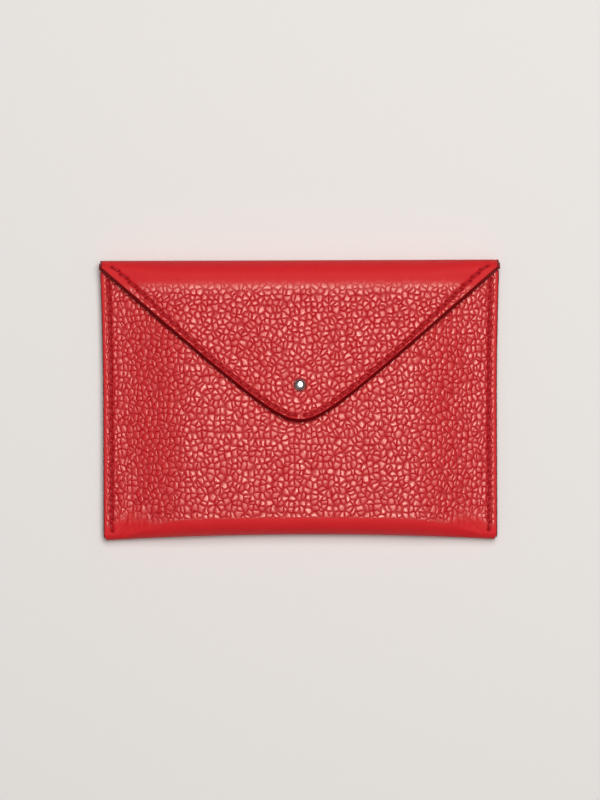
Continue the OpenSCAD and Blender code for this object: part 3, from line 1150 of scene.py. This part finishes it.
def suede():
    made, tree, shader = material("suede_lining")
    coords = attribute(tree, "grain", "Vector")
    nap = noise(tree, coords, 6.0, 4.0)
    brushed = noise(tree, warped(tree, coords, 0.15, 8.0), 0.35, 3.0)
    skin = two_tone(tree, nap, (0.17, 0.008, 0.012, 1), (0.30, 0.018, 0.024, 1))
    skin = mix_colour(tree, ramp(tree, brushed, 0.35, 0.65, 0.0, 0.5), skin, (0.36, 0.03, 0.035, 1))
    tree.links.new(skin, shader.inputs["Base Color"])
    finish_rough(tree, shader, nap, 0.85, 0.98)
    shader.inputs["Specular IOR Level"].default_value = 0.2
    shader.inputs["Sheen Weight"].default_value = 0.25
    bump(tree, shader, nap, 0.06 * MM)
    return made


def edge_paint():
    made, tree, shader = material("edge_paint")
    coords = attribute(tree, "grain", "Vector")
    blotch = noise(tree, coords, 1.2)
    skin = two_tone(tree, blotch, (0.13, 0.003, 0.005, 1), (0.18, 0.006, 0.008, 1))
    tree.links.new(skin, shader.inputs["Base Color"])
    finish_rough(tree, shader, blotch, 0.38, 0.5)
    bump(tree, shader, noise(tree, coords, 4.0), 0.02 * MM)
    return made


def waxed_thread():
    made, tree, shader = material("waxed_thread")
    coords = attribute(tree, "grain", "Vector")
    fibre = noise(tree, coords, 9.0)
    skin = two_tone(tree, fibre, (0.34, 0.003, 0.008, 1), (0.50, 0.006, 0.014, 1))
    tree.links.new(skin, shader.inputs["Base Color"])
    finish_rough(tree, shader, fibre, 0.42, 0.6)
    bump(tree, shader, fibre, 0.03 * MM)
    return made


def metal(name, colour, low, high, scratch):
    made, tree, shader = material(name, Base_Color=colour, Metallic=1.0)
    coords = tree.nodes.new("ShaderNodeTexCoord").outputs["Object"]
    finish_rough(tree, shader, noise(tree, coords, 1500.0), low, high)
    bump(tree, shader, noise(tree, coords, 5000.0), scratch * MM)
    return made


def stay_board():
    made, tree, shader = material("stay_board")
    coords = tree.nodes.new("ShaderNodeTexCoord").outputs["Object"]
    fibre = noise(tree, coords, 2500.0, 4.0)
    skin = two_tone(tree, fibre, (0.30, 0.20, 0.12, 1), (0.52, 0.40, 0.28, 1))
    tree.links.new(skin, shader.inputs["Base Color"])
    shader.inputs["Roughness"].default_value = 0.9
    bump(tree, shader, fibre, 0.05 * MM)
    return made


def wear(obj, made):
    """Gives obj the one material made."""
    obj.data.materials.clear()
    obj.data.materials.append(made)
    return obj


# ---------------------------------------------------------------- the room


def aim_at_holder(lamp):
    """Turns a lamp so that it points at the frame's origin."""
    x, y, z = (-c for c in lamp.location)
    lamp.rotation_euler = (math.atan2(math.hypot(x, y), -z), 0, math.atan2(x, -y))


def studio():
    bpy.ops.mesh.primitive_plane_add(size=4, location=(0, 0, 0))
    floor = bpy.context.object
    floor.name = "floor"
    made, tree, shader = material("pale_floor", Roughness=0.9)
    coords = tree.nodes.new("ShaderNodeTexCoord").outputs["Object"]
    tone = noise(tree, coords, 3.0)
    paper = mix_colour(tree, tone, (0.815, 0.79, 0.775, 1), (0.80, 0.776, 0.76, 1))
    tree.links.new(paper, shader.inputs["Base Color"])
    shader.inputs["Specular IOR Level"].default_value = 0.1
    wear(floor, made)
    world = bpy.data.worlds.new("room")
    bpy.context.scene.world = world
    world.use_nodes = True
    world.node_tree.nodes["Background"].inputs[0].default_value = (1.0, 0.985, 0.97, 1)
    world.node_tree.nodes["Background"].inputs[1].default_value = 0.08
    lamps = (
        ("key_softbox", (0.12, 0.15, 1.3), 0.45, 0.5, 16.3),
        ("upper_softbox", (0.25, 1.2, 2.6), 1.0, 1.0, 7.3),
        ("overhead_frame", (0.0, -0.1, 1.6), 2.0, 2.0, 0.35),
    )
    for name, place, wide, tall, brightness in lamps:
        data = bpy.data.lights.new(name, "AREA")
        data.shape = "RECTANGLE"
        data.size = wide
        data.size_y = tall
        data.energy = math.pi * wide * tall * brightness
        data.color = (1.0, 0.985, 0.965)
        lamp = link(bpy.data.objects.new(name, data))
        lamp.location = place
        aim_at_holder(lamp)


VIEW_W = 0.1716  # width that the picture covers at the holder's height
VIEW_RATIO = 4 / 3  # the picture's height over its width
FACE_Z = 0.006  # the height at which VIEW_W is measured
CAMERA_Z = 1.2
CAMERA_ROLL = -0.2  # degrees
SENSOR_W = 36


def camera():
    data = bpy.data.cameras.new("camera")
    made = link(bpy.data.objects.new("camera", data))
    made.location = (0, 0, CAMERA_Z)
    made.rotation_euler = (0, 0, math.radians(CAMERA_ROLL))
    data.sensor_width = SENSOR_W
    data.lens = SENSOR_W * (CAMERA_Z - FACE_Z) / (VIEW_W * VIEW_RATIO)
    bpy.context.scene.camera = made


bpy.context.scene.view_settings.view_transform = "Standard"
camera()
studio()

LEATHER = grained_leather()
SUEDE = suede()
SLOT = slot_leather()
PAINT = edge_paint()
THREAD = waxed_thread()
STEEL = metal("polished_steel", (0.66, 0.66, 0.68, 1), 0.04, 0.08, 0.0005)
NICKEL = metal("nickel_plate", (0.62, 0.61, 0.60, 1), 0.18, 0.3, 0.002)
BOARD = stay_board()


def show(obj, made, nodes, body):
    """Gives a piece its material, the nodes it stands for and the body it rides on."""
    wear(obj, made)
    if nodes:
        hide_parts(*nodes)
    if body:
        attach(obj, body)
    return obj


case = show(raise_grain(case_leather()), LEATHER, ["outer_shell", "fold_leather"], None)
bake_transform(case)
flap = show(raise_grain(flap_leather()), LEATHER, ["flap_leather"], None)
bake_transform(flap)
lining = show(case_lining(), SUEDE, ["pocket_lining", "fold_lining"], None)
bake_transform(lining)
under = show(flap_lining(), SUEDE, ["flap_lining"], None)
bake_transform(under)

show(fold_strip(), SUEDE, [], "fold")
show(card_slot(), SLOT, ["card_slot_panel"], "pouch")
show(painted_edge("left_painted_edge", -1), PAINT, [], "pouch")
show(painted_edge("right_painted_edge", 1), PAINT, [], "pouch")
show(side_seam("left_seam", -1), THREAD, ["left_stitching"], "pouch")
show(side_seam("right_seam", 1), THREAD, ["right_stitching"], "pouch")
show(flap_seam(), THREAD, ["flap_stitching"], "flap")

show(cap(), STEEL, ["snap_cap"], "flap")
show(stay("flap_stay_disc", flap_stay_low, flap_stay_high), BOARD, ["flap_stay"], "flap")
show(socket(), NICKEL, ["snap_socket"], "flap")
show(spring(), NICKEL, ["socket_spring"], "flap")
show(stud(), NICKEL, ["snap_stud"], "pouch")
show(rivet(), NICKEL, ["stud_rivet"], "pouch")
show(stay("front_stay_disc", front_stay_low, front_stay_high), BOARD, ["front_stay"], "pouch")
